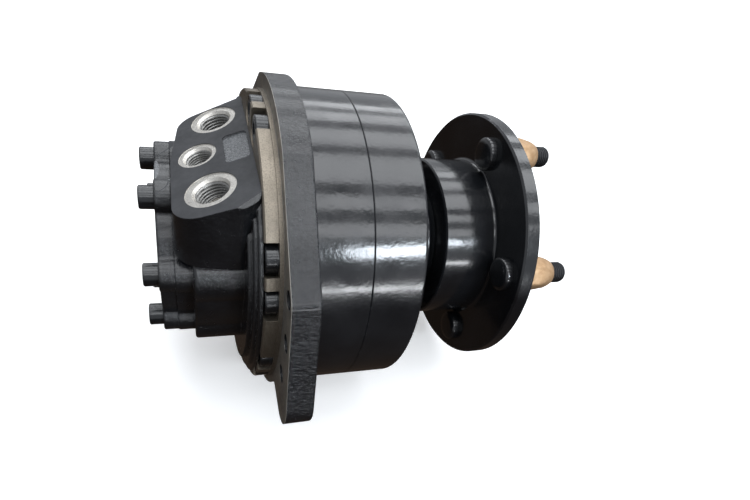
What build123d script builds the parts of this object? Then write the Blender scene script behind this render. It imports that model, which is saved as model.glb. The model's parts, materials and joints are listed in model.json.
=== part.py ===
"""Radial-piston hydraulic wheel motor with a flanged output shaft.

Millimetres. +X is the motor axis, pointing at the wheel flange. The origin is the centre of the
chassis mounting face. +Z points out of the side that carries the hose ports. Angles about the axis
are measured from +Z towards -Y.
"""
from build123d import *
from math import atan, cos, degrees, hypot, pi, radians, sin, tan
import os

# ---- driving dimensions: casing -------------------------------------------------------------
DRUM_RADIUS = 95.6          # cam ring and bearing housing
FLANGE_THICKNESS = 16.0     # chassis flange, from the mounting face at x = 0
SEAM_X = 47.7               # joint between cam ring and bearing housing
DRUM_END_X = 79.6
DRUM_EDGE_RADIUS = 2.2
NOSE_RADIUS = 52.0
NOSE_END_X = 102.0
PILOT_RADIUS = 92.6
PILOT_LENGTH = 10.0
PILOT_RELIEF = 0.7          # the ring steps in behind its unbroken centring band
FLANGE_BORE_RADIUS = 50.0   # counterbore, from the web forwards
WEB_END_X = 3.0             # the web that takes the rear screws

# Half outline of the chassis flange, as (distance towards -Y, height): the lug is a fin whose
# lower side is steep and whose upper side is a long slope.
FLANGE_TOP_RADIUS = 101.5
FLANGE_SLOPE_START = 27.3   # degrees from +Z
LUG_UPPER_CORNER = (104.6, 40.0)
LUG_LOWER_CORNER = (131.0, -48.0)
LUG_ROOT = (87.2, -42.3)
LUG_FILLETS = (7.0, 16.0, 6.0)
LUG_HOLE_CIRCLE = 103.5
LUG_HOLE_RADIUS = 5.5
LUG_HOLE_ANGLES = (69.0, 84.0, 99.0)

# ---- housing bolts: M10, in pairs inside pockets of the pilot ring --------------------------
BOLT_CIRCLE = 84.0
BOLT_PAIR_ANGLES = (0.0, 66.7, 113.3, 180.0, 246.7, 293.3)
BOLT_PAIR_HALF_ANGLE = 7.9
BOLT_HEAD_RADIUS = 8.0
BOLT_HEAD_LENGTH = 7.0
BOLT_SEAT_X = -2.5
BOLT_END_X = 67.5
BOLT_RADIUS = 5.0
POCKET_RADIUS = 9.1

# ---- valving cover and rear plate ------------------------------------------------------------
COVER_START_X = -53.5
PLATE_START_X = -62.0
SCREW_CIRCLE = 48.5
SCREW_ANGLES = (24.5, 76.0, 125.0, 195.0, 270.0, 338.0)
PLATE_OUTLINE = (50.0, 10.0)        # web radius and lobe radius of the lobed sections
COVER_REAR_OUTLINE = (51.5, 10.6)
COVER_BODY_OUTLINE = (60.5, 16.5)
COVER_BODY_START_X = -44.0
COVER_STEPS = ((79.0, -17.0), (84.5, -14.5), (88.0, -12.5))     # (radius, start x)
COVER_EDGE_RADII = (0.6, 2.0, 1.0)  # rear section, body, steps
COVER_RING_RADIUS = 41.2
COVER_RING_CORD = 0.9
SCREW_RADIUS = 4.0
SCREW_HEAD_RADIUS = 6.5
SCREW_HEAD_LENGTH = 8.0
SCREW_END_X = 1.5

PORT_TILT = 23.3            # degrees: the port face leans back towards the rear plate
PORT_FACE_HEIGHT = 77.5     # where the plane of the port face crosses x = 0
PORT_BLOCK_OUTLINE = (
    (-53.0, 0.0), (-47.5, 42.0), (-10.0, 48.5), (-10.0, -58.0), (-19.0, -62.0), (-53.0, -58.0),
)
PORT_BLOCK_FILLETS = (30.0, 13.0, 2.0, 5.0, 8.0, 16.0)
PORT_BLOCK_BASE = 27.0
PORT_BLOCK_REACH = 91.5     # the block stays inside the pilot ring, so a frame plate slides over it
# x and y on the face, thread core radius, spotface radius, depth, drilling target x and angle
PORTS = (
    (-27.8, 31.0, 9.3, 13.8, 13.0, -12.0, -50.0),
    (-38.6, -2.9, 7.45, 11.1, 12.0, -43.0, 5.0),
    (-33.6, -39.1, 9.3, 14.2, 13.0, -28.0, 55.0),
)
SPOTFACE_DEPTH = 0.6
PORT_MOUTH = (1.7, 2.2)     # width and depth of the chamfer at a port's mouth
DRILLING_RADIUS = 4.5
CAST_PAD = (-24.5, -11.5, -20.0, 8.0)
CAST_PAD_DEPTH = 1.2

# ---- distributor -----------------------------------------------------------------------------
DISTRIBUTOR_RADIUS = 38.0
DISTRIBUTOR_START_X = -40.0
DISTRIBUTOR_END_X = 17.9
DISTRIBUTOR_FLANGE_RADIUS = 47.0
DISTRIBUTOR_FLANGE_X = 4.0
COVER_BORE_RADIUS = 38.1
GROOVES_X = (-12.0, -28.0)
GROOVE_WIDTH = 8.0
GROOVE_DEPTH = 4.0
SEAL_GROOVES_X = (-3.0, -20.0, -36.0)
SPRING_CIRCLE = 26.0
SPRING_ANGLES = (45.0, 135.0, 225.0, 315.0)

# ---- rotating group --------------------------------------------------------------------------
BLOCK_START_X = 18.0
BLOCK_END_X = 44.0
BLOCK_RADIUS = 62.0
PISTON_COUNT = 8
PISTON_RADIUS = 9.0
PISTON_CLEARANCE = 0.03
PISTON_FOOT = 38.5
PISTON_BORE_FLOOR = 36.0
ROLLER_RADIUS = 6.5
ROLLER_LENGTH = 11.6
ROLLER_CLEARANCE = 0.04
ROLLER_CENTRE = 60.3
CAM_LOBES = 6
CAM_MEAN_RADIUS = 72.0
CAM_AMPLITUDE = 3.0
TIMING_CIRCLE = 42.0
TIMING_RADIUS = 3.0
SPLINE_TEETH = 18
SPLINE_ROOT = 24.6
SPLINE_TIP = 26.6

# ---- bearings: (middle x, width, bore, outer, mean radius, roller radius, length, count, side)
REAR_BEARING = (63.5, 20.0, 30.0, 55.0, 43.5, 5.2, 14.0, 16, -1)
FRONT_BEARING = (84.5, 17.0, 32.0, 46.0, 39.2, 3.2, 11.0, 20, 1)
BEARING_ANGLE = 12.0
BEARING_CLEARANCE = 0.06

# ---- wheel end -------------------------------------------------------------------------------
COLLAR_START_X = 111.0
COLLAR_RADIUS = 56.3
WHEEL_FACE_X = 148.1
WHEEL_OUTER_X = 158.5
WHEEL_RADIUS = 88.9
WHEEL_PILOT_RADIUS = 47.0
WHEEL_PILOT_LENGTH = 8.0
STUD_CIRCLE = 70.0
STUD_COUNT = 5
STUD_RADIUS = 7.0
STUD_FREE_RADIUS = 6.75      # the stud beyond its nut, over its thread crests
STUD_END_X = 193.1
STUD_HEAD_RADIUS = 10.9
STUD_HEAD_LENGTH = 5.6
NUT_FLATS = 21.0
NUT_HEX_END_X = 171.0
NUT_END_X = 182.3


# ---- helpers ---------------------------------------------------------------------------------
def polar(radius, angle):
    """(y, z) of a point at an angle from +Z towards -Y."""
    return (-radius * sin(radians(angle)), radius * cos(radians(angle)))


def cylinder(radius, start, end, centre=(0.0, 0.0)):
    """A cylinder along the motor axis from x = start to x = end, centred at (y, z)."""
    return extrude(Plane.YZ.offset(start) * Pos(*centre) * Circle(radius), end - start)


def prism(sketch, start, end):
    """A sketch drawn in (y, z), extruded from x = start to x = end."""
    return extrude(Plane.YZ.offset(start) * sketch, end - start)


def turned(*points):
    """A solid of revolution about the motor axis from (x, radius) points."""
    return revolve(Plane.XZ * make_face(Polyline(*points, close=True)), Axis.X)


def drilled(first, last, radius):
    """A straight drilling between two points."""
    axis = Vector(*last) - Vector(*first)
    return extrude(Plane(origin=first, z_dir=axis) * Circle(radius), axis.length)


def spread(part, radius, angles):
    """Copies of a part modelled on the motor axis, moved out to each angle of a circle."""
    return [Pos(0, *polar(radius, angle)) * Rot(angle, 0, 0) * part for angle in angles]


def pair_angles(centres, half_angle):
    """The angles of fasteners set in pairs about each centre."""
    return [centre + side * half_angle for centre in centres for side in (-1, 1)]


def cut(body, tools):
    """The body with every tool taken away."""
    for tool in tools:
        body = body - tool
    return body


def socket_screw(radius, head_radius, head_length, seat, end, socket_flats):
    """A socket-head cap screw on the motor axis, its head on the rear side of x = seat."""
    head = cylinder(head_radius, seat - head_length, seat)
    head = chamfer(head.edges().sort_by(Axis.X)[0], 0.6)
    shank = chamfer(cylinder(radius, seat, end).edges().sort_by(Axis.X)[-1], 0.8)
    socket = prism(
        RegularPolygon(socket_flats / 2, 6, major_radius=False), seat - head_length, seat - head_length * 0.4
    )
    return head + shank - socket


HOUSING_BOLT_ANGLES = pair_angles(BOLT_PAIR_ANGLES, BOLT_PAIR_HALF_ANGLE)
PORT_SLOPE = tan(radians(PORT_TILT))


def port_face_point(x, y):
    """The point of the port face above (x, y)."""
    return (x, y, PORT_FACE_HEIGHT + PORT_SLOPE * x)


def port_plane(x, y):
    """A plane on the port face, its local x running up the slope and its normal pointing out."""
    slope = radians(PORT_TILT)
    return Plane(
        origin=port_face_point(x, y), x_dir=(cos(slope), 0, sin(slope)), z_dir=(-sin(slope), 0, cos(slope))
    )


# ---- casing ----------------------------------------------------------------------------------
def flange_outline():
    """The chassis flange: a disc with a fin-shaped lug on each side."""
    start = polar(FLANGE_TOP_RADIUS, FLANGE_SLOPE_START)
    right = [start] + [(-u, w) for u, w in (LUG_UPPER_CORNER, LUG_LOWER_CORNER, LUG_ROOT)]
    left = [(-y, z) for y, z in right]
    top = ThreePointArc(left[0], (0, FLANGE_TOP_RADIUS), right[0])
    bottom = ThreePointArc(right[-1], (0, -hypot(*LUG_ROOT)), left[-1])
    face = make_face([top, Polyline(*right), bottom, Polyline(*reversed(left))])
    for index, radius in enumerate(LUG_FILLETS, start=1):
        for corner in (right[index], left[index]):
            vertex = face.vertices().sort_by_distance((corner[0], corner[1], 0))[0]
            face = fillet(vertex, radius)
    return face


def make_mounting_flange():
    """Chassis flange and pilot ring in one casting, with pockets for the housing bolts."""
    plate = prism(flange_outline(), 0, FLANGE_THICKNESS)
    plate = fillet(plate.faces().sort_by(Axis.X)[-1].outer_wire().edges(), 1.6)
    ring = cylinder(PILOT_RADIUS - PILOT_RELIEF, -PILOT_LENGTH, 1.0)
    ring = chamfer(ring.edges().sort_by(Axis.X)[0], 0.8)
    ring = ring + cylinder(PILOT_RADIUS, BOLT_SEAT_X, 1.0)
    body = plate + ring - cylinder(COVER_BORE_RADIUS, -PILOT_LENGTH - 1, FLANGE_THICKNESS + 1)
    body = body - cylinder(FLANGE_BORE_RADIUS, WEB_END_X, FLANGE_THICKNESS + 1)
    pocket = cylinder(POCKET_RADIUS, -PILOT_LENGTH - 1, BOLT_SEAT_X)
    mouth = extrude(
        Plane.YZ.offset(-PILOT_LENGTH - 1) * Pos(0, 10) * Rectangle(2 * POCKET_RADIUS, 20),
        BOLT_SEAT_X + PILOT_LENGTH + 1,
    )
    body = cut(body, spread(pocket + mouth, BOLT_CIRCLE, HOUSING_BOLT_ANGLES))
    clearance = cylinder(BOLT_RADIUS + 0.3, BOLT_SEAT_X - 1, FLANGE_THICKNESS + 1)
    body = cut(body, spread(clearance, BOLT_CIRCLE, HOUSING_BOLT_ANGLES))
    tapped = cylinder(SCREW_RADIUS, -PILOT_LENGTH - 1, WEB_END_X + 1)
    body = cut(body, spread(tapped, SCREW_CIRCLE, SCREW_ANGLES))
    hole = cylinder(LUG_HOLE_RADIUS, -1, FLANGE_THICKNESS + 1)
    body = cut(body, spread(hole, LUG_HOLE_CIRCLE, [side * a for a in LUG_HOLE_ANGLES for side in (1, -1)]))
    body = body - o_ring_groove(FLANGE_THICKNESS, -1)
    return cut(body, spread(cylinder(4.0, 8, 17), DOWEL_CIRCLE, DOWEL_ANGLES))


CASE_RING_RADIUS = 76.9
CASE_RING_CORD = 0.7
DOWEL_CIRCLE = 86.0
DOWEL_ANGLES = (90.0, 270.0)


def o_ring_groove(face_x, direction):
    """A groove for a case O-ring, cut into the face at x = face_x."""
    depth = 2 * CASE_RING_CORD
    start = min(face_x, face_x + direction * depth)
    half = CASE_RING_CORD + 0.15
    outer = cylinder(CASE_RING_RADIUS + half, start, start + depth)
    return outer - cylinder(CASE_RING_RADIUS - half, start, start + depth)


def o_ring(radius, cord, x):
    """A round-section ring about the motor axis."""
    return revolve(Plane.XZ * Pos(x, radius) * Circle(cord), Axis.X)


def make_case_o_rings():
    """The two rings that seal the cam ring to its neighbours."""
    places = (FLANGE_THICKNESS - CASE_RING_CORD, SEAM_X + CASE_RING_CORD)
    return [o_ring(CASE_RING_RADIUS, CASE_RING_CORD, x) for x in places]


def cam_outline():
    """The lobed inner track that the piston rollers run on."""
    steps = CAM_LOBES * 8
    points = []
    for step in range(steps):
        angle = 360.0 * step / steps
        points.append(polar(CAM_MEAN_RADIUS + CAM_AMPLITUDE * cos(radians(CAM_LOBES * angle)), angle))
    return make_face(Spline(*points, periodic=True))


def make_cam_ring():
    """The middle section of the drum, with the cam track inside."""
    body = cylinder(DRUM_RADIUS, FLANGE_THICKNESS, SEAM_X)
    body = chamfer(body.edges().sort_by(Axis.X)[-1], 0.5)
    body = body - prism(cam_outline(), FLANGE_THICKNESS - 1, SEAM_X + 1)
    hole = cylinder(BOLT_RADIUS + 0.3, FLANGE_THICKNESS - 1, SEAM_X + 1)
    body = cut(body, spread(hole, BOLT_CIRCLE, HOUSING_BOLT_ANGLES))
    return cut(body, spread(cylinder(4.0, 15, 49), DOWEL_CIRCLE, DOWEL_ANGLES))


def make_bearing_housing():
    """The front section of the drum and the nose that carries the bearings and the shaft seal."""
    drum = cylinder(DRUM_RADIUS, SEAM_X, DRUM_END_X)
    drum = fillet(drum.edges().sort_by(Axis.X)[-1], DRUM_EDGE_RADIUS)
    drum = chamfer(drum.edges().sort_by(Axis.X)[0], 0.5)
    nose = turned(
        (DRUM_END_X - 1, 0), (DRUM_END_X - 1, NOSE_RADIUS + 7), (DRUM_END_X + 5, NOSE_RADIUS),
        (NOSE_END_X - 1.5, NOSE_RADIUS), (NOSE_END_X, NOSE_RADIUS - 1.5), (NOSE_END_X, 0),
    )
    bore = turned(
        (SEAM_X - 1, 0), (SEAM_X - 1, 55), (74, 55), (74, 41), (76, 41), (76, 46), (NOSE_END_X + 1, 46),
        (NOSE_END_X + 1, 0),
    )
    body = drum + nose - bore - o_ring_groove(SEAM_X, 1)
    tapped = cylinder(BOLT_RADIUS, SEAM_X - 1, BOLT_END_X + 3)
    body = cut(body, spread(tapped, BOLT_CIRCLE, HOUSING_BOLT_ANGLES))
    return cut(body, spread(cylinder(4.0, 46, 56.5), DOWEL_CIRCLE, DOWEL_ANGLES))


def make_dowel_pins():
    """Two pins that line up flange, cam ring and bearing housing."""
    pin = cylinder(4.0, 8.5, 56)
    pin = chamfer(pin.edges().filter_by(GeomType.CIRCLE), 0.5)
    return spread(pin, DOWEL_CIRCLE, DOWEL_ANGLES)


# ---- valving cover ---------------------------------------------------------------------------
def lobed_outline(web_radius, lobe_radius):
    """A disc with a rounded lobe over each rear screw."""
    shape = Circle(web_radius)
    for angle in SCREW_ANGLES:
        shape += Pos(*polar(SCREW_CIRCLE, angle)) * Circle(lobe_radius)
    return fillet(shape.vertices(), 2.5)


def port_block():
    """The boss that carries the hose ports, before its sloping face is cut."""
    face = make_face(Polyline(*PORT_BLOCK_OUTLINE, close=True))
    for corner, radius in zip(PORT_BLOCK_OUTLINE, PORT_BLOCK_FILLETS):
        face = fillet(face.vertices().sort_by_distance((corner[0], corner[1], 0))[0], radius)
    block = Pos(0, 0, PORT_BLOCK_BASE) * extrude(face, 80)
    return block & cylinder(PORT_BLOCK_REACH, COVER_START_X - 1, 0)


def port_tools(x, y, core, spotface, depth, target_x, target_angle):
    """What is machined away for one port: spotface, threaded bore, mouth and drilling."""
    plane = port_plane(x, y)
    width, mouth_depth = PORT_MOUTH
    mouth = loft([plane * Circle(core + width), plane.offset(-mouth_depth) * Circle(core - 0.1)])
    bottom = plane.from_local_coords((0, 0, 1.0 - depth))
    target = (target_x, *polar(COVER_BORE_RADIUS - 2.0, target_angle))
    return [
        extrude(plane * Circle(spotface), -SPOTFACE_DEPTH),
        extrude(plane * Circle(core), -depth),
        mouth,
        drilled(tuple(bottom), target, DRILLING_RADIUS),
    ]


def cast_pad():
    """The shallow as-cast recess in the port face."""
    start, end, low, high = CAST_PAD
    middle = port_plane((start + end) / 2, (low + high) / 2)
    outline = RectangleRounded((end - start) / cos(radians(PORT_TILT)), high - low, 3)
    return extrude(middle * outline, -CAST_PAD_DEPTH)


def rounded_rear(part, radius):
    """The part with the rim of its rear face rounded."""
    return fillet(part.faces().sort_by(Axis.X)[0].outer_wire().edges(), radius)


def make_valving_cover():
    """The rear casting: lobed body, port block, stepped flange and the bore of the distributor."""
    rear_edge, body_edge, step_edge = COVER_EDGE_RADII
    body = rounded_rear(prism(lobed_outline(*COVER_REAR_OUTLINE), COVER_START_X, -PILOT_LENGTH), rear_edge)
    middle = prism(lobed_outline(*COVER_BODY_OUTLINE), COVER_BODY_START_X, -PILOT_LENGTH)
    body = body + rounded_rear(middle, body_edge)
    for radius, start in COVER_STEPS:
        body = body + rounded_rear(cylinder(radius, start, -PILOT_LENGTH), step_edge)
    body = body + port_block()
    body = body - extrude(port_plane(-30, 0) * Rectangle(260, 260), 80)
    body = body - cylinder(COVER_BORE_RADIUS, COVER_START_X - 1, -PILOT_LENGTH + 1)
    body = body - annulus(
        COVER_RING_RADIUS - COVER_RING_CORD - 0.15, COVER_RING_RADIUS + COVER_RING_CORD + 0.15,
        -PILOT_LENGTH - COVER_RING_CORD, 2 * COVER_RING_CORD,
    )
    clearance = cylinder(SCREW_RADIUS + 0.25, COVER_START_X - 1, -PILOT_LENGTH + 1)
    body = cut(body, spread(clearance, SCREW_CIRCLE, SCREW_ANGLES))
    for port in PORTS:
        body = cut(body, port_tools(*port))
    return body - cast_pad()


def make_rear_plate():
    """The lobed end plate, with a spigot that closes the distributor bore."""
    plate = prism(lobed_outline(*PLATE_OUTLINE), PLATE_START_X, COVER_START_X)
    plate = fillet(plate.faces().sort_by(Axis.X)[0].outer_wire().edges(), 1.2)
    plate = plate + cylinder(COVER_BORE_RADIUS, COVER_START_X, -49)
    groove = cylinder(COVER_BORE_RADIUS + 1, -52, -50) - cylinder(COVER_BORE_RADIUS - 1.6, -52, -50)
    plate = plate - groove - cylinder(22, PLATE_START_X - 1, PLATE_START_X + 1.5)
    hole = cylinder(SCREW_RADIUS + 0.25, PLATE_START_X - 1, COVER_START_X + 1)
    plate = cut(plate, spread(hole, SCREW_CIRCLE, SCREW_ANGLES))
    return plate - cylinder(2.5, -53.5, -48, polar(14, 0))


def make_rear_plate_screws():
    """M8 screws through rear plate and cover into the mounting flange."""
    screw = socket_screw(
        SCREW_RADIUS, SCREW_HEAD_RADIUS, SCREW_HEAD_LENGTH, PLATE_START_X, SCREW_END_X, 6.0
    )
    return spread(screw, SCREW_CIRCLE, SCREW_ANGLES)


def make_housing_bolts():
    """M10 low-head bolts that clamp flange, cam ring and bearing housing."""
    bolt = socket_screw(BOLT_RADIUS, BOLT_HEAD_RADIUS, BOLT_HEAD_LENGTH, BOLT_SEAT_X, BOLT_END_X, 7.0)
    return spread(bolt, BOLT_CIRCLE, HOUSING_BOLT_ANGLES)


# ---- distributor -----------------------------------------------------------------------------
def make_distributor():
    """The fixed valve that feeds the cylinders in turn through a ring of timing windows."""
    body = cylinder(DISTRIBUTOR_RADIUS, DISTRIBUTOR_START_X, DISTRIBUTOR_END_X)
    body = body + cylinder(DISTRIBUTOR_FLANGE_RADIUS, DISTRIBUTOR_FLANGE_X, DISTRIBUTOR_END_X)
    for x in GROOVES_X:
        body = body - annulus(DISTRIBUTOR_RADIUS - GROOVE_DEPTH, DISTRIBUTOR_RADIUS + 1, x, GROOVE_WIDTH)
    for x in SEAL_GROOVES_X:
        body = body - annulus(DISTRIBUTOR_RADIUS - 2.5, DISTRIBUTOR_RADIUS + 1, x, 3.0)
    windows = 2 * CAM_LOBES
    for index in range(windows):
        angle = 360.0 * index / windows + 180.0 / windows
        outlet = (DISTRIBUTOR_END_X + 0.5, *polar(TIMING_CIRCLE, angle))
        inlet = (GROOVES_X[index % 2], *polar(DISTRIBUTOR_RADIUS - 7.5, angle))
        body = body - drilled(outlet, inlet, TIMING_RADIUS)
    body = body - cylinder(10, DISTRIBUTOR_START_X - 1, DISTRIBUTOR_END_X + 1)
    pocket = cylinder(4.0, DISTRIBUTOR_START_X - 1, -34)
    body = cut(body, spread(pocket, SPRING_CIRCLE, SPRING_ANGLES))
    return body - cylinder(2.7, DISTRIBUTOR_START_X - 1, -32, polar(14, 0))


def annulus(inner, outer, middle_x, width):
    """A flat ring about the motor axis."""
    start, end = middle_x - width / 2, middle_x + width / 2
    return cylinder(outer, start, end) - cylinder(inner, start, end)


def make_distributor_seals():
    """Seal rings between the distributor grooves and the cover bore."""
    return [
        annulus(DISTRIBUTOR_RADIUS - 2.5, COVER_BORE_RADIUS, x, 2.8) for x in SEAL_GROOVES_X
    ]


def make_distributor_springs():
    """Coil springs that press the distributor against the cylinder block."""
    wire, radius, pitch = 0.6, 2.9, 2.2
    length = 15.0 - 2 * wire
    path = Helix(pitch=pitch, height=length, radius=radius)
    spring = sweep(Plane(origin=path @ 0, z_dir=path % 0) * Circle(wire), path=path)
    spring = Pos(-49 + wire + 0.05, 0, 0) * Rot(0, 90, 0) * spring
    return spread(spring, SPRING_CIRCLE, SPRING_ANGLES)


def make_distributor_pin():
    """The pin that keeps the distributor from turning."""
    return [chamfer(cylinder(2.5, -53.5, -36, polar(14, 0)).edges().sort_by(Axis.X)[-1], 0.5)]


# ---- rotating group --------------------------------------------------------------------------
def spline_outline():
    """The toothed section shared by the shaft end and the cylinder block."""
    width = 0.5 * 2 * pi * SPLINE_ROOT / SPLINE_TEETH
    shape = Circle(SPLINE_ROOT)
    tooth_length = SPLINE_TIP - SPLINE_ROOT + 2
    for index in range(SPLINE_TEETH):
        angle = 360.0 * index / SPLINE_TEETH
        shape += Rot(0, 0, angle) * Pos(0, SPLINE_TIP - tooth_length / 2) * Rectangle(width, tooth_length)
    return shape


def make_cylinder_block():
    """The rotor with its radial cylinders and the ports on its distributor face."""
    body = cylinder(BLOCK_RADIUS, BLOCK_START_X, BLOCK_END_X)
    body = chamfer(body.edges(), 0.8)
    body = body - prism(spline_outline(), BLOCK_START_X - 1, BLOCK_END_X + 1)
    middle = (BLOCK_START_X + BLOCK_END_X) / 2
    for index in range(PISTON_COUNT):
        turn = Rot(360.0 * index / PISTON_COUNT, 0, 0)
        bore = Pos(middle, 0, PISTON_BORE_FLOOR) * extrude(Circle(PISTON_RADIUS), 40)
        port = cylinder(TIMING_RADIUS, BLOCK_START_X - 1, middle, polar(TIMING_CIRCLE, 0))
        body = body - turn * bore - turn * port
    return body


def make_piston():
    """A piston at the top of the circle, cradling its roller."""
    middle = (BLOCK_START_X + BLOCK_END_X) / 2
    radius = PISTON_RADIUS - PISTON_CLEARANCE
    body = Pos(middle, 0, PISTON_FOOT) * extrude(Circle(radius), ROLLER_CENTRE - PISTON_FOOT)
    body = chamfer(body.edges().sort_by(Axis.Z)[0], 0.6)
    cradle = cylinder(ROLLER_RADIUS + ROLLER_CLEARANCE, middle - 12, middle + 12, (0, ROLLER_CENTRE))
    groove = Pos(middle, 0, 44) * (extrude(Circle(radius + 1), 2.2) - extrude(Circle(radius - 1.4), 2.2))
    return body - cradle - groove


def make_piston_ring():
    """The seal ring in a piston's groove."""
    middle = (BLOCK_START_X + BLOCK_END_X) / 2
    outer = PISTON_RADIUS - PISTON_CLEARANCE
    return Pos(middle, 0, 44.1) * (extrude(Circle(outer), 2.0) - extrude(Circle(outer - 1.4), 2.0))


def make_roller():
    """The roller that carries a piston's load on to the cam."""
    middle = (BLOCK_START_X + BLOCK_END_X) / 2
    half = ROLLER_LENGTH / 2
    roller = cylinder(ROLLER_RADIUS, middle - half, middle + half, (0, ROLLER_CENTRE))
    return chamfer(roller.edges().filter_by(GeomType.CIRCLE), 0.5)


def make_output_shaft():
    """Splined shaft, bearing journals, collar and wheel flange in one forging."""
    body = turned(
        (44.5, 0), (44.5, 27.5), (45, 28), (53, 28), (53, 30), (74.5, 30), (74.5, 32), (93, 32), (93, 36),
        (COLLAR_START_X - 3, 36), (COLLAR_START_X, 39), (COLLAR_START_X, COLLAR_RADIUS - 1),
        (COLLAR_START_X + 1, COLLAR_RADIUS), (WHEEL_FACE_X + 1, COLLAR_RADIUS), (WHEEL_FACE_X + 1, 0),
    )
    flange = cylinder(WHEEL_RADIUS, WHEEL_FACE_X, WHEEL_OUTER_X)
    flange = chamfer(flange.edges().filter_by(GeomType.CIRCLE), 1.2)
    pilot = cylinder(WHEEL_PILOT_RADIUS, WHEEL_OUTER_X - 1, WHEEL_OUTER_X + WHEEL_PILOT_LENGTH)
    pilot = chamfer(pilot.edges().sort_by(Axis.X)[-1], 1.5)
    body = body + flange + pilot + prism(spline_outline(), 20, 44.6)
    root = body.edges().filter_by(GeomType.CIRCLE).filter_by(
        lambda edge: abs(edge.radius - COLLAR_RADIUS) < 0.01 and abs(edge.center().X - WHEEL_FACE_X) < 0.01
    )
    body = fillet(root, 2.4)
    body = body - cylinder(32, WHEEL_OUTER_X - 2, WHEEL_OUTER_X + WHEEL_PILOT_LENGTH + 1)
    hole = cylinder(STUD_RADIUS + 0.3, WHEEL_FACE_X - 1, WHEEL_OUTER_X + 1)
    return cut(body, spread(hole, STUD_CIRCLE, stud_angles()))


def stud_angles():
    """Where the wheel studs sit."""
    return [360.0 * index / STUD_COUNT for index in range(STUD_COUNT)]


def make_wheel_studs():
    """Press-in M14 studs with domed heads on the rear of the wheel flange."""
    head_start = WHEEL_FACE_X - STUD_HEAD_LENGTH
    stud = turned(
        (head_start, 0), (head_start, STUD_HEAD_RADIUS - 2.6), (head_start + 0.9, STUD_HEAD_RADIUS - 0.9),
        (head_start + 2.6, STUD_HEAD_RADIUS), (WHEEL_FACE_X, STUD_HEAD_RADIUS),
        (WHEEL_FACE_X, STUD_RADIUS + 0.3), (WHEEL_OUTER_X - 1, STUD_RADIUS + 0.3),
        (WHEEL_OUTER_X - 1, STUD_RADIUS), (NUT_END_X, STUD_RADIUS), (NUT_END_X, STUD_FREE_RADIUS),
        (STUD_END_X - 1.8, STUD_FREE_RADIUS), (STUD_END_X, STUD_RADIUS - 1.6),
        (STUD_END_X, 0),
    )
    return spread(stud, STUD_CIRCLE, stud_angles())


def make_wheel_nuts():
    """Hexagon wheel nuts whose tapered seats face outwards."""
    corner = NUT_FLATS / cos(radians(30)) / 2
    hexagon = prism(RegularPolygon(NUT_FLATS / 2, 6, major_radius=False), WHEEL_OUTER_X, NUT_END_X)
    middle = (NUT_HEX_END_X + NUT_END_X) / 2
    envelope = turned(
        (WHEEL_OUTER_X, 0), (WHEEL_OUTER_X, corner - 0.8), (WHEEL_OUTER_X + 1, corner), (NUT_HEX_END_X, corner),
        (middle, 10.6), (NUT_END_X - 0.6, 8.4), (NUT_END_X, 7.9), (NUT_END_X, 0),
    )
    nut = (hexagon & envelope) - cylinder(STUD_RADIUS, WHEEL_OUTER_X - 1, NUT_END_X + 1)
    return spread(nut, STUD_CIRCLE, stud_angles())


def make_shaft_nut():
    """The slotted nut that sets the bearing preload."""
    nut = cylinder(37, 46, 53) - cylinder(28, 45, 54)
    slot = prism(Pos(0, 36.5) * Rectangle(7, 5), 45, 54)
    return cut(nut, [Rot(90.0 * index, 0, 0) * slot for index in range(4)])


def make_shaft_seal():
    """The radial lip seal at the end of the nose."""
    return turned(
        (94.5, 46), (94.5, 44), (96, 43.4), (96.4, 38.4), (97.4, 36.06), (98.6, 37.2), (99, 41.5), (100, 42.5),
        (101.5, 42.5), (101.5, 46),
    )


# ---- taper roller bearings -------------------------------------------------------------------
def tapered_bearing(middle, width, bore, outer, mean, roller_radius, length, count, side):
    """Cup, cone and rolling set. side is +1 when the large ends of the rollers face +X."""
    tilt = radians(BEARING_ANGLE)
    half_cone = atan(roller_radius * sin(tilt) / mean)
    apex = middle - side * mean / tan(tilt)

    def track(x, angle, gap):
        return abs(x - apex) * tan(angle) + gap

    start, end = middle - width / 2, middle + width / 2
    outer_track = [(x, track(x, tilt + half_cone, BEARING_CLEARANCE)) for x in (start, end)]
    inner_track = [(x, track(x, tilt - half_cone, -BEARING_CLEARANCE)) for x in (start, end)]
    cup = turned(*outer_track, (end, outer), (start, outer))
    cone = turned(*inner_track, (end, bore), (start, bore))

    def roller(extra_radius, extra_length):
        half = length / 2 + extra_length
        small = roller_radius - half * tan(half_cone) + extra_radius
        large = roller_radius + half * tan(half_cone) + extra_radius
        body = turned((-half, 0), (-half, small), (half, large), (half, 0))
        if side < 0:
            body = Rot(0, 180, 0) * body
        return Pos(middle, 0, mean) * Rot(0, -side * BEARING_ANGLE, 0) * body

    angles = [360.0 * index / count for index in range(count)]
    sleeve_half = (length / 2 + 2.2) * cos(tilt)
    ends = [middle - sleeve_half, middle + sleeve_half]
    sleeve = turned(
        *[(x, track(x, tilt, 0.8)) for x in ends], *[(x, track(x, tilt, -0.8)) for x in reversed(ends)]
    )
    windows = roller(0.25, 0.3)
    cage = cut(sleeve, [Rot(angle, 0, 0) * windows for angle in angles])
    rolling = [Rot(angle, 0, 0) * roller(0.0, 0.0) for angle in angles]
    return [cup], [cone], [cage] + rolling


# ---- assembly --------------------------------------------------------------------------------
def write(name, solids):
    """Write one node as a STEP file."""
    bodies = []
    for item in solids if isinstance(solids, list) else [solids]:
        bodies.extend(item.solids())
    export_step(bodies[0] if len(bodies) == 1 else Compound(children=bodies), f"parts/{name}.step")


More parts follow.
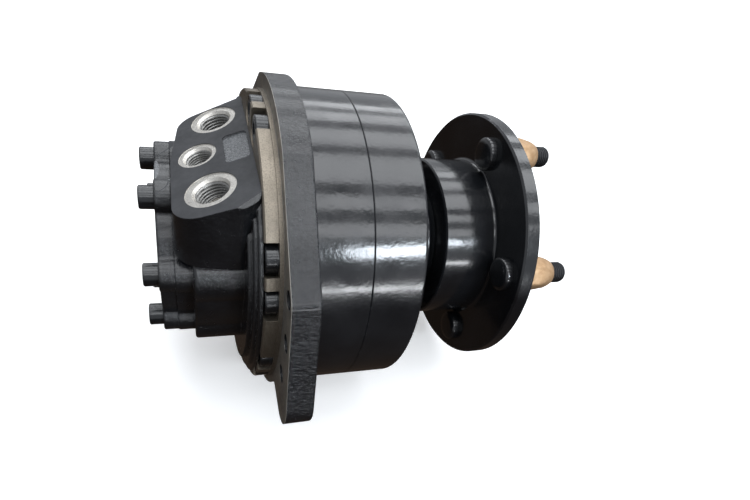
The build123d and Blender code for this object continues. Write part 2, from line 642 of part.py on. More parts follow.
def main():
    os.makedirs("parts", exist_ok=True)
    write("mounting_flange", make_mounting_flange())
    write("cam_ring", make_cam_ring())
    write("bearing_housing", make_bearing_housing())
    write("case_o_rings", make_case_o_rings())
    write("dowel_pins", make_dowel_pins())
    write("housing_bolts", make_housing_bolts())
    write("valving_cover", make_valving_cover())
    write("cover_o_ring", o_ring(COVER_RING_RADIUS, COVER_RING_CORD, -PILOT_LENGTH - COVER_RING_CORD))
    write("rear_plate", make_rear_plate())
    write("rear_plate_o_ring", o_ring(COVER_BORE_RADIUS - 0.8, 0.8, -51))
    write("rear_plate_screws", make_rear_plate_screws())
    write("distributor", make_distributor())
    write("distributor_seals", make_distributor_seals())
    write("distributor_springs", make_distributor_springs())
    write("distributor_pin", make_distributor_pin())
    write("output_shaft", make_output_shaft())
    write("cylinder_block", make_cylinder_block())
    write("shaft_nut", make_shaft_nut())
    write("shaft_seal", make_shaft_seal())
    write("wheel_studs", make_wheel_studs())
    write("wheel_nuts", make_wheel_nuts())
    for name, size in (("rear", REAR_BEARING), ("front", FRONT_BEARING)):
        cup, cone, rolling = tapered_bearing(*size)
        write(f"{name}_bearing_cup", cup)
        write(f"{name}_bearing_cone", cone)
        write(f"{name}_bearing_rollers", rolling)
    for index in range(PISTON_COUNT):
        turn = Rot(360.0 * index / PISTON_COUNT, 0, 0)
        write(f"piston_{index + 1}", turn * make_piston())
        write(f"piston_ring_{index + 1}", turn * make_piston_ring())
        write(f"cam_roller_{index + 1}", turn * make_roller())


main()
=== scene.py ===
"""Looks of a radial-piston hydraulic wheel motor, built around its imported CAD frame. Metres."""

import json
from math import cos, pi, radians, sin, sqrt

import bmesh
import bpy
from mathutils import Matrix, Vector


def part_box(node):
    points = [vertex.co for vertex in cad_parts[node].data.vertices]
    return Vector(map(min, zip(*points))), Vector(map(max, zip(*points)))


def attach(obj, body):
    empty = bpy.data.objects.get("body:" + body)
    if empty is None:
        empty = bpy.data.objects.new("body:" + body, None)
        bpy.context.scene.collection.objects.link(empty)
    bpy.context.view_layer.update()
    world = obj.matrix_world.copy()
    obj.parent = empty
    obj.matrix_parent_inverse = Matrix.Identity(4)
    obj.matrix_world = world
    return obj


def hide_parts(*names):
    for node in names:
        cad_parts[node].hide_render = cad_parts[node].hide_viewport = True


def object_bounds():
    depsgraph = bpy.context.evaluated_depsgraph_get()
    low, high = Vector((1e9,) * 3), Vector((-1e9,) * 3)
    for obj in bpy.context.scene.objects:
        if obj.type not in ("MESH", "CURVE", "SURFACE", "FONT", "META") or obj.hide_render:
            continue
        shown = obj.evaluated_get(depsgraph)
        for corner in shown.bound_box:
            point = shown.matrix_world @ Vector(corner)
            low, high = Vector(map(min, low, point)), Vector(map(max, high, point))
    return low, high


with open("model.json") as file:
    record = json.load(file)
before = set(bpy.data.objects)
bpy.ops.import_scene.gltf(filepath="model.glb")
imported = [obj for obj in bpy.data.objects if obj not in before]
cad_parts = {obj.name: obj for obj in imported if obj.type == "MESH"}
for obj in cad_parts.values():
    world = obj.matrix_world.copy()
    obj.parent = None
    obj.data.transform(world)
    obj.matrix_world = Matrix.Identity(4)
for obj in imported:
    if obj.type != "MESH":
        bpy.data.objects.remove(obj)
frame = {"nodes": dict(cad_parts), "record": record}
cad_low, cad_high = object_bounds()
NODES = frame["nodes"]
MOUNTS = {mount["name"]: mount for mount in frame["record"]["mounts"]}

MM = 0.001
AXIS_X = Vector((1, 0, 0))

# ---- places read from the frame ---------------------------------------------------------------
PORT_NAMES = ("port_a", "port_drain", "port_b")
PORT_NORMAL = Vector(MOUNTS["port_a"]["axis"]).normalized()
PORT_ALONG = Vector((PORT_NORMAL.z, 0, -PORT_NORMAL.x))
SPOTFACE_RADII = {"port_a": 13.8 * MM, "port_drain": 11.1 * MM, "port_b": 14.2 * MM}
MOUTH_DEPTH = 2.2 * MM
PAD_MIDDLE_Y = -6.0 * MM
PAD_HALF_WIDTH = 14.2 * MM
PAD_DEPTH = 1.2 * MM
STUD_MOUNT = MOUNTS["wheel_studs_pattern"]
STUD_CIRCLE = STUD_MOUNT["dims"]["pcd_mm"] / 2 * MM
STUD_RADIUS = 7.0 * MM
STUD_HEAD_LENGTH = 5.6 * MM
STUD_HEAD_RADIUS = 10.9 * MM
STUD_PITCH = 1.5 * MM
THREAD_DEPTH = 0.62 * MM
HIDDEN_GAP = 0.02 * MM      # keeps a mesh face from lying exactly on a CAD face
NUT_ACROSS_FLATS = 21.0 * MM
NUT_HEX_END_X = 171.0 * MM
WHEEL_FACE_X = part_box("wheel_nuts")[0].x
STUD_COUNT = STUD_MOUNT["dims"]["count"]
FLOOR_Z = cad_low.z

# ---- camera: the viewing angle, lens and framing of the reference view -------------------------
CAMERA_PLACE = Vector((-0.04657, -0.27496, 0.22187))
CAMERA_FORWARD = Vector((0.33728, 0.64243, -0.68814))
CAMERA_UP = Vector((0.04991, 0.71774, 0.69452))
CAMERA_LENS = 24.65
CAMERA_SHIFT = (0.0012, 0.0729)


# ---- shader graph helper -----------------------------------------------------------------------
class Graph:
    """A material's node tree, with one short method for each kind of node used here."""

    def __init__(self, name):
        self.material = bpy.data.materials.new(name)
        self.material.use_nodes = True
        self.tree = self.material.node_tree
        self.tree.nodes.clear()
        self.out = self.node("ShaderNodeOutputMaterial")
        self.position = self.node("ShaderNodeTexCoord").outputs["Object"]

    def node(self, kind, **settings):
        made = self.tree.nodes.new(kind)
        for key, value in settings.items():
            setattr(made, key, value)
        return made

    def feed(self, socket, value):
        """Sets a socket to a constant, or links it to another node's output."""
        if isinstance(value, bpy.types.NodeSocket):
            self.tree.links.new(value, socket)
        elif socket.type == "RGBA" and len(value) == 3:
            socket.default_value = (*value, 1.0)
        else:
            socket.default_value = value

    def math(self, operation, first, second=0.0, clamp=False):
        made = self.node("ShaderNodeMath", operation=operation, use_clamp=clamp)
        self.feed(made.inputs[0], first)
        self.feed(made.inputs[1], second)
        return made.outputs[0]

    def dot(self, vector):
        """The distance of each point along a direction."""
        made = self.node("ShaderNodeVectorMath", operation="DOT_PRODUCT")
        self.feed(made.inputs[0], self.position)
        self.feed(made.inputs[1], tuple(vector))
        return made.outputs["Value"]

    def noise(self, scale, detail=3.0, roughness=0.55, stretch=None):
        """Fractal noise of that many waves per metre."""
        made = self.node("ShaderNodeTexNoise")
        self.feed(made.inputs["Vector"], self.stretched(stretch))
        self.feed(made.inputs["Scale"], scale)
        self.feed(made.inputs["Detail"], detail)
        self.feed(made.inputs["Roughness"], roughness)
        return made.outputs["Fac"]

    def cells(self, scale, feature="SMOOTH_F1"):
        """Distance to the nearest of scattered points."""
        made = self.node("ShaderNodeTexVoronoi", feature=feature)
        self.feed(made.inputs["Vector"], self.position)
        self.feed(made.inputs["Scale"], scale)
        return made.outputs["Distance"]

    def stretched(self, factors):
        if factors is None:
            return self.position
        made = self.node("ShaderNodeMapping")
        self.feed(made.inputs["Vector"], self.position)
        self.feed(made.inputs["Scale"], factors)
        return made.outputs["Vector"]

    def ramp(self, factor, low, high, low_value=0.0, high_value=1.0):
        """Maps factor from low..high to low_value..high_value, clamped."""
        made = self.node("ShaderNodeMapRange")
        for socket, value in zip(made.inputs, (factor, low, high, low_value, high_value)):
            self.feed(socket, value)
        return made.outputs["Result"]

    def mix(self, factor, first, second):
        """Blends two colours."""
        made = self.node("ShaderNodeMix", data_type="RGBA")
        self.feed(made.inputs["Factor"], factor)
        self.feed(made.inputs["A"], first)
        self.feed(made.inputs["B"], second)
        return made.outputs["Result"]

    def softened_normal(self, radius):
        """The surface normal with its sharp edges rounded off."""
        made = self.node("ShaderNodeBevel", samples=4)
        self.feed(made.inputs["Radius"], radius)
        return made.outputs["Normal"]

    def edge(self, radius, low=0.02, high=0.25):
        """1 along sharp edges and 0 on open faces."""
        flat = self.node("ShaderNodeNewGeometry").outputs["Normal"]
        made = self.node("ShaderNodeVectorMath", operation="DOT_PRODUCT")
        self.feed(made.inputs[0], self.softened_normal(radius))
        self.feed(made.inputs[1], flat)
        return self.ramp(self.math("SUBTRACT", 1.0, made.outputs["Value"]), low, high)

    def bump(self, height, distance, strength=1.0, normal=None):
        made = self.node("ShaderNodeBump")
        self.feed(made.inputs["Height"], height)
        self.feed(made.inputs["Distance"], distance)
        self.feed(made.inputs["Strength"], strength)
        if normal is not None:
            self.feed(made.inputs["Normal"], normal)
        return made.outputs["Normal"]

    def shader(self, **inputs):
        made = self.node("ShaderNodeBsdfPrincipled")
        for name, value in inputs.items():
            self.feed(made.inputs[name.replace("_", " ")], value)
        return made.outputs["BSDF"]

    def layer(self, factor, first, second):
        made = self.node("ShaderNodeMixShader")
        self.feed(made.inputs[0], factor)
        self.feed(made.inputs[1], first)
        self.feed(made.inputs[2], second)
        return made.outputs["Shader"]

    def done(self, shader):
        self.feed(self.out.inputs["Surface"], shader)
        return self.material


def near(graph, value, middle, half_width):
    """1 where value lies within half_width of middle."""
    return graph.math("LESS_THAN", graph.math("ABSOLUTE", graph.math("SUBTRACT", value, middle)), half_width)


# ---- surfaces ----------------------------------------------------------------------------------
BLACK = (0.0045, 0.0052, 0.0066)
BLACK_DUSTY = (0.011, 0.012, 0.014)
BARE_STEEL = (0.56, 0.52, 0.46)
BARE_BRIGHT = (0.72, 0.69, 0.64)


def gloss_paint(graph, peel=0.00006, edge_radius=0.0005):
    """Black gloss sprayed over smooth machined steel, with orange peel and thin paint on the edges."""
    cloud = graph.noise(28.0, 4.0)
    peel_height = graph.noise(520.0, 2.0, 0.5)
    wave = graph.noise(90.0, 2.0, 0.5)
    height = graph.math("ADD", peel_height, graph.math("MULTIPLY", wave, 2.2))
    thin = graph.math("MULTIPLY", graph.edge(edge_radius), graph.ramp(graph.noise(240.0), 0.5, 0.72))
    colour = graph.mix(graph.ramp(cloud, 0.35, 0.7), BLACK, BLACK_DUSTY)
    return graph.shader(
        Base_Color=graph.mix(thin, colour, (0.10, 0.10, 0.105)),
        Roughness=graph.ramp(graph.noise(60.0, 5.0), 0.3, 0.75, 0.11, 0.25),
        Specular_IOR_Level=0.62,
        Coat_Weight=0.35,
        Coat_Roughness=0.08,
        Normal=graph.bump(height, peel, 1.0, graph.softened_normal(edge_radius)),
    )


def cast_paint(graph, grain=0.00022, edge_radius=0.0009, lumps_per_metre=820.0):
    """The same black gloss over a sand casting: soft lumps and fine pits under the paint."""
    lumps = graph.cells(lumps_per_metre)
    grit = graph.noise(2.1 * lumps_per_metre, 4.0, 0.65)
    drift = graph.noise(170.0, 3.0)
    height = graph.math("ADD", graph.math("MULTIPLY", lumps, 0.55), graph.math("MULTIPLY", grit, 0.55))
    height = graph.math("ADD", height, graph.math("MULTIPLY", drift, 0.6))
    thin = graph.math("MULTIPLY", graph.edge(edge_radius), graph.ramp(graph.noise(300.0), 0.45, 0.7))
    colour = graph.mix(graph.ramp(graph.noise(45.0, 4.0), 0.35, 0.7), BLACK, BLACK_DUSTY)
    return graph.shader(
        Base_Color=graph.mix(thin, colour, (0.11, 0.11, 0.115)),
        Roughness=graph.ramp(graph.noise(210.0, 4.0), 0.3, 0.75, 0.12, 0.30),
        Specular_IOR_Level=0.6,
        Coat_Weight=0.3,
        Coat_Roughness=0.12,
        Normal=graph.bump(height, grain, 1.0, graph.softened_normal(edge_radius)),
    )


def bare_metal(graph, colour=BARE_STEEL, roughness=(0.3, 0.55)):
    """Turned or milled iron left unpainted, with fine tool marks and a speckle of old oil."""
    marks = graph.noise(2600.0, 2.0, 0.5, (1.0, 0.06, 0.06))
    speckle = graph.ramp(graph.noise(1500.0, 3.0, 0.7), 0.46, 0.62)
    stain = graph.ramp(graph.noise(95.0, 4.0), 0.42, 0.72)
    dirty = tuple(channel * 0.45 for channel in colour)
    tone = graph.mix(graph.math("MULTIPLY", speckle, 0.55), colour, dirty)
    tone = graph.mix(graph.math("MULTIPLY", stain, 0.5), tone, tuple(channel * 0.62 for channel in colour))
    return graph.shader(
        Base_Color=tone,
        Metallic=0.85,
        Roughness=graph.ramp(graph.noise(700.0, 3.0), 0.3, 0.7, *roughness),
        Normal=graph.bump(marks, 0.00004, 1.0, graph.softened_normal(0.0003)),
    )


def machined_under_thin_paint(graph):
    """The flat port face: milled, then dusted with thin black, so it stays dull."""
    cloud = graph.ramp(graph.noise(70.0, 5.0), 0.3, 0.7)
    fleck = graph.ramp(graph.noise(2100.0, 2.0), 0.66, 0.78)
    tone = graph.mix(cloud, (0.030, 0.031, 0.034), (0.046, 0.047, 0.051))
    height = graph.noise(900.0, 3.0, 0.6)
    return graph.shader(
        Base_Color=graph.mix(graph.math("MULTIPLY", fleck, 0.4), tone, (0.12, 0.12, 0.13)),
        Roughness=graph.ramp(graph.noise(260.0), 0.3, 0.7, 0.52, 0.68),
        Specular_IOR_Level=0.38,
        Normal=graph.bump(height, 0.00003, 1.0, graph.softened_normal(0.0004)),
    )


def rough_pad(graph):
    """The as-cast recess in the port face, coarse and glittering."""
    height = graph.math("ADD", graph.cells(620.0), graph.noise(1400.0, 3.0, 0.7))
    return graph.shader(
        Base_Color=graph.mix(graph.noise(500.0), (0.07, 0.075, 0.08), (0.20, 0.205, 0.215)),
        Roughness=graph.ramp(graph.noise(800.0), 0.3, 0.7, 0.16, 0.4),
        Specular_IOR_Level=0.8,
        Normal=graph.bump(height, 0.00055, 1.0),
    )


def make_gloss_material():
    graph = Graph("gloss_black_paint")
    return graph.done(gloss_paint(graph))


def make_flange_material():
    """Painted casting whose rear side, the pilot ring and mounting face, is bare and turned."""
    graph = Graph("flange_casting")
    along = graph.dot(AXIS_X)
    bare = graph.math("LESS_THAN", along, 0.0003)
    shader = graph.layer(bare, cast_paint(graph, 0.0010, 0.0009, 520.0), bare_metal(graph, (0.27, 0.235, 0.19)))
    # Painted reflection: towards the bottom the mounting face's own grey turns brown, standing in for a warm
    # surface reflected from below; the smear noise on top is real staining.
    painted_reflection_low_down = graph.ramp(graph.dot((0, 0, 1)), -0.02, -0.08)
    face_tone_and_painted_reflection = graph.mix(painted_reflection_low_down, (0.15, 0.145, 0.135), (0.13, 0.085, 0.05))
    smear = graph.ramp(graph.noise(60.0, 5.0), 0.35, 0.65)
    face_film_and_painted_reflection = graph.shader(
        Base_Color=graph.mix(smear, face_tone_and_painted_reflection, (0.24, 0.22, 0.19)),
        Metallic=0.5,
        Roughness=graph.ramp(graph.noise(400.0, 3.0), 0.3, 0.7, 0.32, 0.5),
        Normal=graph.bump(graph.noise(1500.0, 3.0), 0.00003, 1.0),
    )
    return graph.done(graph.layer(near(graph, along, 0.0, 0.0003), shader, face_film_and_painted_reflection))


def make_cover_material():
    """Painted casting with a dull milled port face, a rough pad and bright spotfaces."""
    graph = Graph("cover_casting")
    centre = Vector(MOUNTS["port_a"]["pos_m"])
    wall_middle = MOUTH_DEPTH + MOUNTS["port_a"]["dims"]["length_mm"] / 2 * MM
    face_height = centre.dot(PORT_NORMAL) + wall_middle
    height = graph.math("SUBTRACT", graph.dot(PORT_NORMAL), face_height)
    on_face = near(graph, height, 0.0, 0.00012)
    shader = graph.layer(on_face, cast_paint(graph, 0.00040, 0.0009, 640.0), machined_under_thin_paint(graph))
    deep = graph.math("LESS_THAN", height, -0.0004)
    across = graph.dot((0, 1, 0))
    along = graph.dot(PORT_ALONG)
    in_pad = graph.math(
        "MULTIPLY",
        near(graph, height, -PAD_DEPTH, 0.75 * MM),
        near(graph, across, PAD_MIDDLE_Y, PAD_HALF_WIDTH),
    )
    shader = graph.layer(graph.math("MULTIPLY", in_pad, deep), shader, rough_pad(graph))
    bright = bare_metal(graph, BARE_BRIGHT, (0.26, 0.5))
    for name in PORT_NAMES:
        place = Vector(MOUNTS[name]["pos_m"])
        sideways = graph.math("SUBTRACT", across, place.y)
        lengthways = graph.math("SUBTRACT", along, place.dot(PORT_ALONG))
        square = graph.math("ADD", graph.math("POWER", sideways, 2.0), graph.math("POWER", lengthways, 2.0))
        reach = SPOTFACE_RADII[name] + 0.0001
        inside = graph.math("LESS_THAN", square, reach * reach)
        shallow = graph.math("GREATER_THAN", height, -0.0135)
        mask = graph.math("MULTIPLY", graph.math("MULTIPLY", inside, deep), shallow)
        shader = graph.layer(mask, shader, bright)
    return graph.done(shader)


def make_fastener_material(name, grain):
    graph = Graph(name)
    return graph.done(cast_paint(graph, grain, 0.0004))


def make_steel_material(name, colour, roughness):
    graph = Graph(name)
    return graph.done(bare_metal(graph, colour, roughness))


def make_stud_material():
    """Black-oxide studs whose inner heads are painted with the flange."""
    graph = Graph("stud_black_oxide")
    wear = graph.edge(0.0003, 0.02, 0.3)
    tone = graph.mix(graph.noise(900.0), (0.020, 0.021, 0.023), (0.042, 0.043, 0.047))
    oxide = graph.shader(
        Base_Color=graph.mix(graph.math("MULTIPLY", wear, 0.5), tone, (0.2, 0.2, 0.21)),
        Metallic=0.6,
        Roughness=graph.ramp(graph.noise(600.0), 0.3, 0.7, 0.35, 0.55),
        Normal=graph.bump(graph.noise(1500.0), 0.00003, 1.0),
    )
    painted = graph.math("LESS_THAN", graph.dot(AXIS_X), WHEEL_FACE_X - 0.001)
    return graph.done(graph.layer(painted, oxide, gloss_paint(graph)))


def make_zinc_material():
    """Yellow passivated zinc: satin, mottled gold over grey, rubbed brighter on the corners."""
    graph = Graph("yellow_zinc")
    mottle = graph.ramp(graph.noise(260.0, 4.0), 0.35, 0.68)
    tone = graph.mix(mottle, (0.44, 0.27, 0.14), (0.58, 0.39, 0.23))
    tone = graph.mix(graph.math("MULTIPLY", graph.edge(0.0004), 0.6), tone, (0.86, 0.76, 0.6))
    return graph.done(graph.shader(
        Base_Color=tone,
        Metallic=0.55,
        Roughness=graph.ramp(graph.noise(500.0), 0.3, 0.7, 0.36, 0.52),
        Normal=graph.bump(graph.noise(1800.0, 3.0), 0.00003, 1.0, graph.softened_normal(0.0003)),
    ))


def make_rubber_material():
    graph = Graph("nitrile_rubber")
    return graph.done(graph.shader(
        Base_Color=graph.mix(graph.noise(300.0), (0.012, 0.012, 0.012), (0.03, 0.03, 0.029)),
        Roughness=graph.ramp(graph.noise(900.0), 0.3, 0.7, 0.5, 0.75),
        Normal=graph.bump(graph.noise(2500.0), 0.00003),
    ))


def make_seal_plastic_material():
    graph = Graph("seal_plastic")
    return graph.done(graph.shader(
        Base_Color=graph.mix(graph.noise(400.0), (0.30, 0.24, 0.16), (0.44, 0.37, 0.27)),
        Roughness=graph.ramp(graph.noise(700.0), 0.3, 0.7, 0.4, 0.6),
        Normal=graph.bump(graph.noise(1600.0), 0.00003),
    ))


def make_floor_material():
    graph = Graph("pale_floor")
    return graph.done(graph.shader(
        Base_Color=graph.mix(graph.noise(3.0), (0.86, 0.86, 0.86), (0.90, 0.90, 0.90)),
        Roughness=graph.ramp(graph.noise(6.0), 0.3, 0.7, 0.75, 0.85),
        Emission_Color=(1.0, 1.0, 1.0),
        Emission_Strength=0.35,
    ))


MATERIALS = {
    "gloss_black_paint": make_gloss_material(),
    "black_casting": make_flange_material(),
    "black_cover_casting": make_cover_material(),
    "black_fastener": make_fastener_material("painted_fastener", 0.00007),
    "stud_steel": make_stud_material(),
    "yellow_zinc": make_zinc_material(),
    "nitrile": make_rubber_material(),
    "seal_plastic": make_seal_plastic_material(),
    "bearing_steel": make_steel_material("bearing_steel", (0.72, 0.72, 0.73), (0.08, 0.2)),
    "machined_steel": make_steel_material("machined_steel", (0.50, 0.50, 0.51), (0.25, 0.42)),
    "spring_steel": make_steel_material("spring_steel", (0.30, 0.30, 0.32), (0.25, 0.4)),
    "ground_steel": make_steel_material("ground_steel", (0.62, 0.62, 0.63), (0.12, 0.28)),
    "thread_steel": make_steel_material("thread_steel", (0.30, 0.295, 0.285), (0.22, 0.42)),
}


def dress_cad_nodes():
    """Gives every CAD node the material of its slot in the record."""
    for entry in frame["record"]["subparts"]:
        mesh = NODES[entry["node"]].data
        mesh.materials.clear()
        mesh.materials.append(MATERIALS[entry["material_slot"]])


# ---- mesh pieces -------------------------------------------------------------------------------
def add_piece(name, bm, material, body, smooth_angle=40.0):
    """Turns a bmesh into a piece that rides on a body."""
    bmesh.ops.recalc_face_normals(bm, faces=bm.faces)
    mesh = bpy.data.meshes.new(name)
    bm.to_mesh(mesh)
    bm.free()
    mesh.shade_smooth()
    mesh.set_sharp_from_angle(angle=radians(smooth_angle))
    mesh.materials.append(MATERIALS[material])
    piece = bpy.data.objects.new(name, mesh)
    bpy.context.scene.collection.objects.link(piece)
    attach(piece, body)
    return piece


def grid_faces(bm, rows, closed_rings=True):
    """Faces between neighbouring rows of vertices."""
    for first, second in zip(rows, rows[1:]):
        count = len(first)
        for index in range(count if closed_rings else count - 1):
            after = (index + 1) % count
            bm.faces.new((first[index], first[after], second[after], second[index]))


def lathe(bm, profile, transform, segments=48):
    """A closed body of revolution about local Z from (z, radius) points, first and last on the axis."""
    rows = []
    for z, radius in profile[1:-1]:
        row = []
        for step in range(segments):
            angle = 2 * pi * step / segments
            row.append(bm.verts.new(transform @ Vector((radius * cos(angle), radius * sin(angle), z))))
        rows.append(row)
    grid_faces(bm, rows)
    for row, (z, _) in ((rows[0], profile[0]), (rows[-1], profile[-1])):
        tip = bm.verts.new(transform @ Vector((0, 0, z)))
        for index, vertex in enumerate(row):
            bm.faces.new((tip, vertex, row[(index + 1) % len(row)]))


def thread_tooth(phase, sharpness=1.35):
    """0 at a thread's root and 1 on its crest, for a phase in turns."""
    wave = abs((phase % 1.0) - 0.5) * 2
    return min(1.0, max(0.0, (wave - 0.12) * sharpness))


def threaded_column(bm, transform, start, end, root, crest, pitch, fade, segments=40, per_pitch=8):
    """Rows of a helical thread about local Z, fading out over a length at each end. Returns the rows."""
    count = int((end - start) / pitch * per_pitch) + 1
    rows = []
    for level in range(count):
        z = start + (end - start) * level / (count - 1)
        shrink = min(1.0, max(0.0, (z - start) / fade), max(0.0, (end - z) / fade))
        row = []
        for step in range(segments):
            angle = 2 * pi * step / segments
            tooth = thread_tooth(z / pitch - step / segments) * shrink
            radius = root + (crest - root) * tooth
            row.append(bm.verts.new(transform @ Vector((radius * cos(angle), radius * sin(angle), z))))
        rows.append(row)
    grid_faces(bm, rows)
    return rows


def frame_along(place, axis):
    """A transform whose local Z points along an axis from a place."""
    return Matrix.Translation(place) @ Vector(axis).to_track_quat("Z", "Y").to_matrix().to_4x4()


PORT_PITCH = {"port_a": 1.814 * MM, "port_drain": 1.337 * MM, "port_b": 1.814 * MM}


def add_port_threads():
    """Helical threads that stand on the wall of each port, crests inwards."""
    for name in PORT_NAMES:
        mount = MOUNTS[name]
        wall = mount["dims"]["r_mm"] * MM
        half = mount["dims"]["length_mm"] / 2 * MM
        pitch = PORT_PITCH[name]
        transform = frame_along(Vector(mount["pos_m"]), mount["axis"])
        bm = bmesh.new()
        rows = threaded_column(
            bm, transform, -half + 0.3 * MM, half + 0.2 * MM, wall + 0.02 * MM, wall - 0.62 * pitch, pitch,
            0.7 * pitch, 56,
        )
        outer = [[bm.verts.new(vertex.co) for vertex in row] for row in (rows[0], rows[-1])]
        for row in outer:
            for vertex in row:
                local = transform.inverted() @ vertex.co
                scale = (wall + 0.25 * MM) / sqrt(local.x * local.x + local.y * local.y)
                vertex.co = transform @ Vector((local.x * scale, local.y * scale, local.z))
        grid_faces(bm, [outer[0], rows[0]])
        grid_faces(bm, [rows[-1], outer[1]])
        grid_faces(bm, [outer[1], outer[0]])
        add_piece(f"{name}_thread", bm, "thread_steel", "housing", 60.0)


def stud_angles():
    return [2 * pi * index / STUD_COUNT for index in range(STUD_COUNT)]


def on_circle(radius, angle, x):
    """A point at an angle from +Z towards -Y."""
    return Vector((x, -radius * sin(angle), radius * cos(angle)))


def ring(bm, transform, radius, z, segments):
    """A row of vertices around local Z."""
    turns = [2 * pi * step / segments for step in range(segments)]
    return [bm.verts.new(transform @ Vector((radius * cos(turn), radius * sin(turn), z))) for turn in turns]


def add_wheel_studs():
    """Studs with a domed forged head and a rolled thread."""
    low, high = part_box("wheel_studs")
    face_rear = low.x + STUD_HEAD_LENGTH
    tip = high.x
    head = STUD_HEAD_RADIUS
    root = STUD_RADIUS - THREAD_DEPTH
    head_end = face_rear - HIDDEN_GAP
    plain_end = face_rear + 9.0 * MM
    bm = bmesh.new()
    for angle in stud_angles():
        transform = frame_along(on_circle(STUD_CIRCLE, angle, 0.0), AXIS_X)
        profile = [
            (low.x, 0.0),
            (low.x, 6.6 * MM),
            (low.x + 0.2 * MM, head - 2.7 * MM),
            (low.x + 0.8 * MM, head - 1.1 * MM),
            (low.x + 1.5 * MM, head - 0.3 * MM),
            (low.x + 2.4 * MM, head),
            (head_end, head),
            (head_end, STUD_RADIUS),
            (plain_end, STUD_RADIUS),
            (plain_end + 1.4 * MM, 0.0),
        ]
        lathe(bm, profile, transform)
        rows = threaded_column(
            bm, transform, plain_end + 0.6 * MM, tip - 1.5 * MM, root, STUD_RADIUS, STUD_PITCH,
            0.4 * STUD_PITCH,
        )
        nose = ((0.7 * MM, 0.15 * MM), (0.15 * MM, 0.65 * MM), (0.0, 1.2 * MM))
        dog = [ring(bm, transform, root - step_in, tip - back, len(rows[-1])) for back, step_in in nose]
        grid_faces(bm, [rows[-1], *dog])
        for row in (rows[0], dog[-1]):
            bm.faces.new(row)
    piece = add_piece("wheel_studs_threaded", bm, "stud_steel", "rotor", 35.0)
    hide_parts("wheel_studs")


def add_wheel_nuts():
    """Hexagon nuts with a tapered seat facing outwards, rounded corners and a chamfered thread mouth."""
    low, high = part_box("wheel_nuts")
    flat = NUT_ACROSS_FLATS / 2
    corner = flat / cos(pi / 6)
    blunt_corner = corner - 0.35 * MM
    bore = STUD_RADIUS + HIDDEN_GAP
    taper_end = high.x
    middle = (NUT_HEX_END_X + taper_end) / 2
    outline = (
        (low.x + HIDDEN_GAP, corner - 1.3 * MM),
        (low.x + 1.0 * MM, corner),
        (NUT_HEX_END_X - 0.4 * MM, corner),
        (NUT_HEX_END_X + 1.8 * MM, corner - 0.9 * MM),
        (middle, 10.45 * MM),
        (middle + 2.8 * MM, 9.5 * MM),
        (taper_end - 0.6 * MM, 8.4 * MM),
        (taper_end - 0.1 * MM, 7.95 * MM),
        (taper_end - 0.1 * MM, 7.6 * MM),
        (taper_end - 0.9 * MM, bore),
    )
    segments = 96
    turns = [2 * pi * step / segments for step in range(segments)]
    bm = bmesh.new()

    def hex_radius(turn):
        sector = (turn % (pi / 3)) - pi / 6
        return min(flat / cos(sector), blunt_corner)

    for angle in stud_angles():
        transform = frame_along(on_circle(STUD_CIRCLE, angle, 0.0), AXIS_X)
        rows = []
        for z, limit in outline:
            row = []
            for turn in turns:
                radius = min(limit, hex_radius(turn))
                row.append(bm.verts.new(transform @ Vector((radius * cos(turn), radius * sin(turn), z))))
            rows.append(row)
        rows.append(ring(bm, transform, bore, low.x + HIDDEN_GAP, segments))
        grid_faces(bm, rows + [rows[0]])
    piece = add_piece("wheel_nuts_tapered", bm, "yellow_zinc", "rotor", 30.0)
    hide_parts("wheel_nuts")


# ---- stage -------------------------------------------------------------------------------------
def add_floor():
    mesh = bpy.data.meshes.new("floor")
    half = 4.0
    corners = [(-half, -half, FLOOR_Z), (half, -half, FLOOR_Z), (half, half, FLOOR_Z), (-half, half, FLOOR_Z)]
    mesh.from_pydata(corners, [], [(0, 1, 2, 3)])
    mesh.materials.append(make_floor_material())
    floor = bpy.data.objects.new("floor", mesh)
    bpy.context.scene.collection.objects.link(floor)
    floor.visible_diffuse = False
    floor.visible_glossy = False


def add_light(name, place, target, size, power, colour=(1.0, 1.0, 1.0)):
    """A rectangular soft light that faces a target."""
    data = bpy.data.lights.new(name, "AREA")
    data.shape = "RECTANGLE"
    data.size, data.size_y = size
    data.energy = power
    data.color = colour
    light = bpy.data.objects.new(name, data)
    light.location = place
    light.rotation_mode = "QUATERNION"
    light.rotation_quaternion = (Vector(target) - Vector(place)).to_track_quat("-Z", "Y")
    bpy.context.scene.collection.objects.link(light)


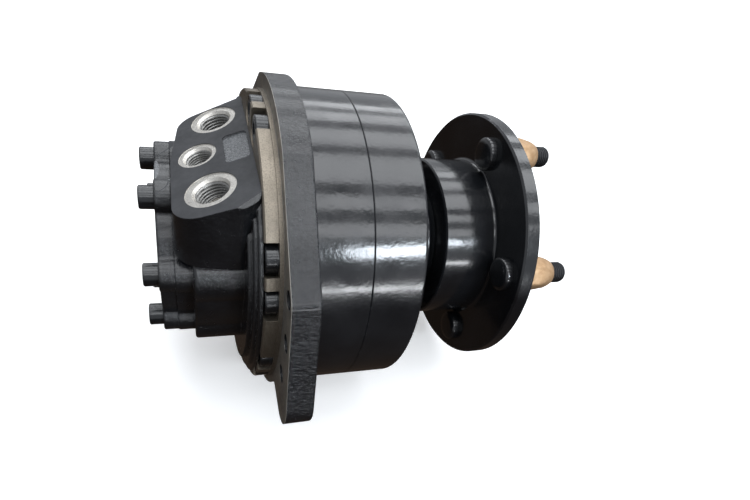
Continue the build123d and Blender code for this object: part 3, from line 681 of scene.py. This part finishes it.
def add_lights():
    target = (0.05, 0.0, 0.0)
    cool = (0.94, 0.97, 1.0)
    strips = ((-1.9, -1.35), (-0.95, -0.6), (-0.35, 0.25), (0.45, 0.95), (1.3, 1.9), (2.4, 3.3))
    for index, (start, end) in enumerate(strips):
        width = end - start
        middle = (start + end) / 2
        add_light(f"ceiling_{index}", (0.5, middle, 1.5), (0.5, middle, 0.0), (2.4, width), 22.0 * width, cool)
    add_light("window", (0.56, -1.05, 0.56), target, (0.36, 0.16), 5.0, (0.84, 0.92, 1.0))
    add_light("lamp", (0.42, -1.0, 0.0), target, (0.55, 0.06), 1.6, cool)


def set_world():
    """A plain surround: pale above the horizon and dark brown below it, like a bench in a bright room."""
    world = bpy.data.worlds.new("studio")
    world.use_nodes = True
    tree = world.node_tree
    separate = tree.nodes.new("ShaderNodeSeparateXYZ")
    tree.links.new(tree.nodes.new("ShaderNodeTexCoord").outputs["Generated"], separate.inputs[0])
    climb = tree.nodes.new("ShaderNodeMapRange")
    climb.inputs["From Min"].default_value = -0.30
    climb.inputs["From Max"].default_value = -0.02
    tree.links.new(separate.outputs["Z"], climb.inputs["Value"])
    shade = tree.nodes.new("ShaderNodeMix")
    shade.data_type = "RGBA"
    shade.inputs["A"].default_value = (0.045, 0.032, 0.024, 1.0)
    shade.inputs["B"].default_value = (0.50, 0.52, 0.55, 1.0)
    tree.links.new(climb.outputs["Result"], shade.inputs["Factor"])
    tree.links.new(shade.outputs["Result"], tree.nodes["Background"].inputs["Color"])
    bpy.context.scene.world = world
    bpy.context.scene.view_settings.view_transform = "Standard"


def add_camera():
    data = bpy.data.cameras.new("camera")
    data.sensor_width = 36.0
    data.lens = CAMERA_LENS
    data.shift_x, data.shift_y = CAMERA_SHIFT
    data.clip_start = 0.01
    camera = bpy.data.objects.new("camera", data)
    right = CAMERA_FORWARD.cross(CAMERA_UP).normalized()
    up = right.cross(CAMERA_FORWARD).normalized()
    back = -CAMERA_FORWARD.normalized()
    camera.matrix_world = Matrix.Translation(CAMERA_PLACE) @ Matrix((right, up, back)).transposed().to_4x4()
    bpy.context.scene.collection.objects.link(camera)
    bpy.context.scene.camera = camera


dress_cad_nodes()
add_port_threads()
add_wheel_studs()
add_wheel_nuts()
add_floor()
add_lights()
set_world()
add_camera()
